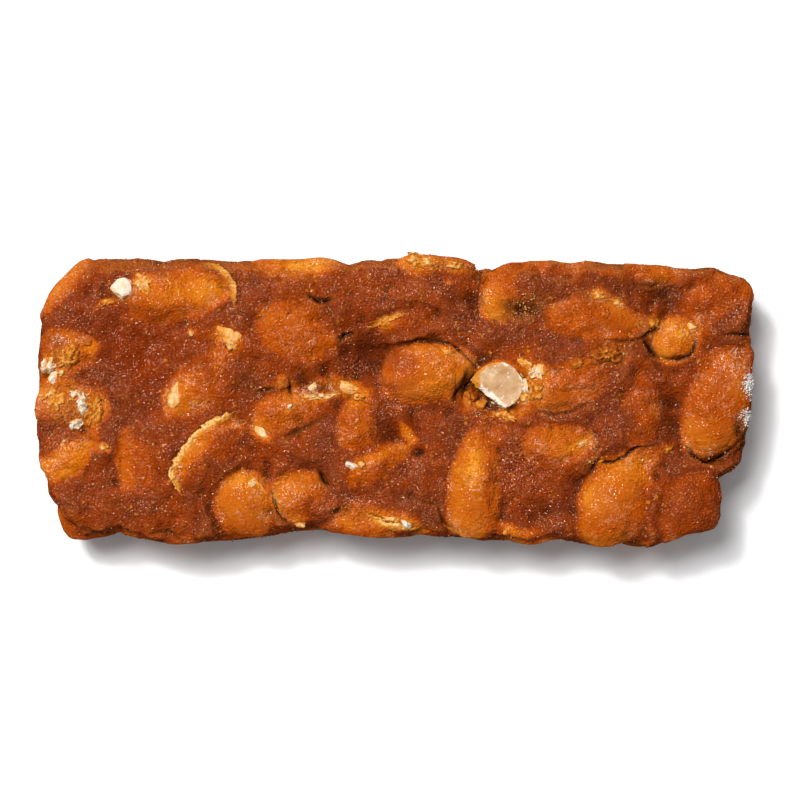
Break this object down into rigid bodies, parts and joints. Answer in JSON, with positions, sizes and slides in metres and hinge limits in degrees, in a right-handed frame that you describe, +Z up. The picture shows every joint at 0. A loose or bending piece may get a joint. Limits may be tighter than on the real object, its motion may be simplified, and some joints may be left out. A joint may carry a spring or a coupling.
{
  "type": "toasted nougat bar",
  "caption": "Oblong bar of toasted nougat: whole roasted almonds bulging from a rough slab of dark caramelised sugar, flat underneath so that it lies on a plate or board.",
  "frame": {"origin": "middle of the flat face that the bar rests on, under the centre of its bounding box", "axes": "+X along the bar, +Y across it, +Z up from the table"},
  "size_m": [0.1488, 0.0606, 0.0184],
  "materials": {
    "sugar": "grainy caramelised sugar with a dull sheen and small glints",
    "almond": "roasted almond under a thin film of caramel, slightly sandy",
    "almond_kernel": "bare cream-coloured almond flesh, smooth where split and chalky where broken"
  },
  "bodies": {
    "root": {"sugar": "sugar", "almond_split": "almond_kernel", "almond_01": "almond", "almond_02": "almond", "almond_03": "almond", "almond_04": "almond", "almond_05": "almond", "almond_06": "almond", "almond_07": "almond", "almond_08": "almond", "almond_09": "almond", "almond_10": "almond", "almond_11": "almond", "almond_12": "almond", "almond_13": "almond", "almond_14": "almond", "almond_15": "almond", "almond_16": "almond", "almond_17": "almond", "almond_18": "almond", "almond_19": "almond", "almond_20": "almond", "almond_21": "almond", "almond_22": "almond", "almond_23": "almond", "almond_24": "almond", "almond_25": "almond", "almond_26": "almond", "almond_27": "almond", "almond_28": "almond", "almond_29": "almond", "almond_30": "almond", "almond_31": "almond", "almond_32": "almond", "almond_33": "almond", "almond_34": "almond", "almond_35": "almond", "almond_36": "almond", "almond_37": "almond", "almond_low_01": "almond", "almond_low_02": "almond", "almond_low_03": "almond", "almond_low_04": "almond", "almond_low_05": "almond", "almond_low_06": "almond", "almond_low_07": "almond", "almond_low_08": "almond", "almond_low_09": "almond", "almond_low_10": "almond", "almond_low_11": "almond", "almond_low_12": "almond", "almond_low_13": "almond", "almond_low_14": "almond", "almond_low_15": "almond", "almond_low_16": "almond", "almond_low_17": "almond", "almond_low_18": "almond", "almond_low_19": "almond", "almond_low_20": "almond"}
  },
  "joints": []
}
